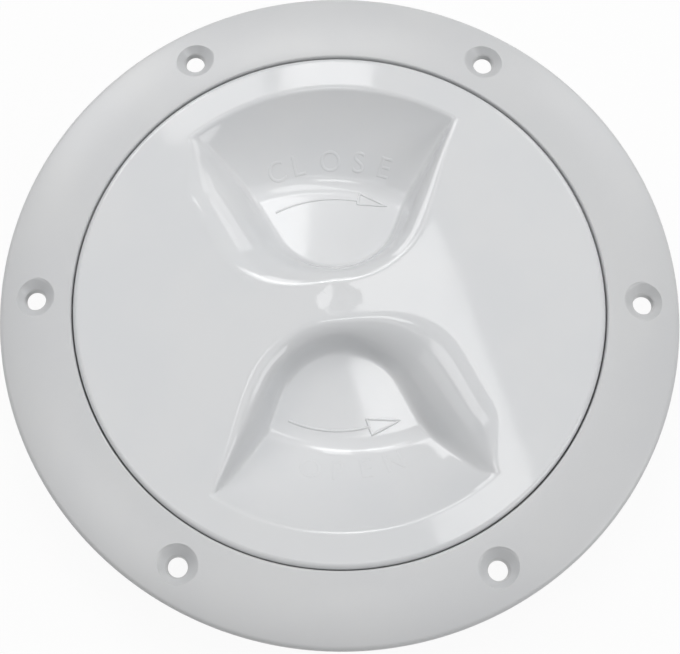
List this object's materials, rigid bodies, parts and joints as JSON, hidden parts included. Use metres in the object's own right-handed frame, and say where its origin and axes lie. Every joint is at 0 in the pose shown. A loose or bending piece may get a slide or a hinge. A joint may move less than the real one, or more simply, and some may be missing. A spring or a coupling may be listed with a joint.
{
  "type": "deck inspection plate",
  "caption": "Round deck inspection plate: a countersunk mounting ring with a threaded neck and a screw-in cover turned by two scooped finger pockets.",
  "frame": {"origin": "centre of the plate on the deck plane, which is the flange's underside", "axes": "+Z out of the deck along the screw axis; the first screw hole lies on +X; the two finger pockets lie about along +Y and -Y"},
  "size_m": [0.172, 0.172, 0.0265],
  "materials": {
    "ring": "white moulded plastic, satin",
    "cover": "white moulded plastic, glossy lid and pockets",
    "seal": "black rubber, smooth"
  },
  "bodies": {
    "ring": {"mounting_ring": "ring"},
    "seal": {"o_ring": "seal"},
    "cover": {"screw_cover": "cover"}
  },
  "joints": [
    {"name": "cover_lift", "type": "slide", "parent": "ring", "child": "seal", "axis": [0, 0, 1], "range_m": [0, 0.02]},
    {"name": "cover_turn", "type": "hinge", "parent": "seal", "child": "cover", "pos_m": [0, 0, 0], "axis": [0, 0, 1], "range_deg": [0, 1440]}
  ],
  "couplings": [
    {"joint": "cover_lift", "follows": "cover_turn", "m_per_rad": 0.00079577}
  ]
}
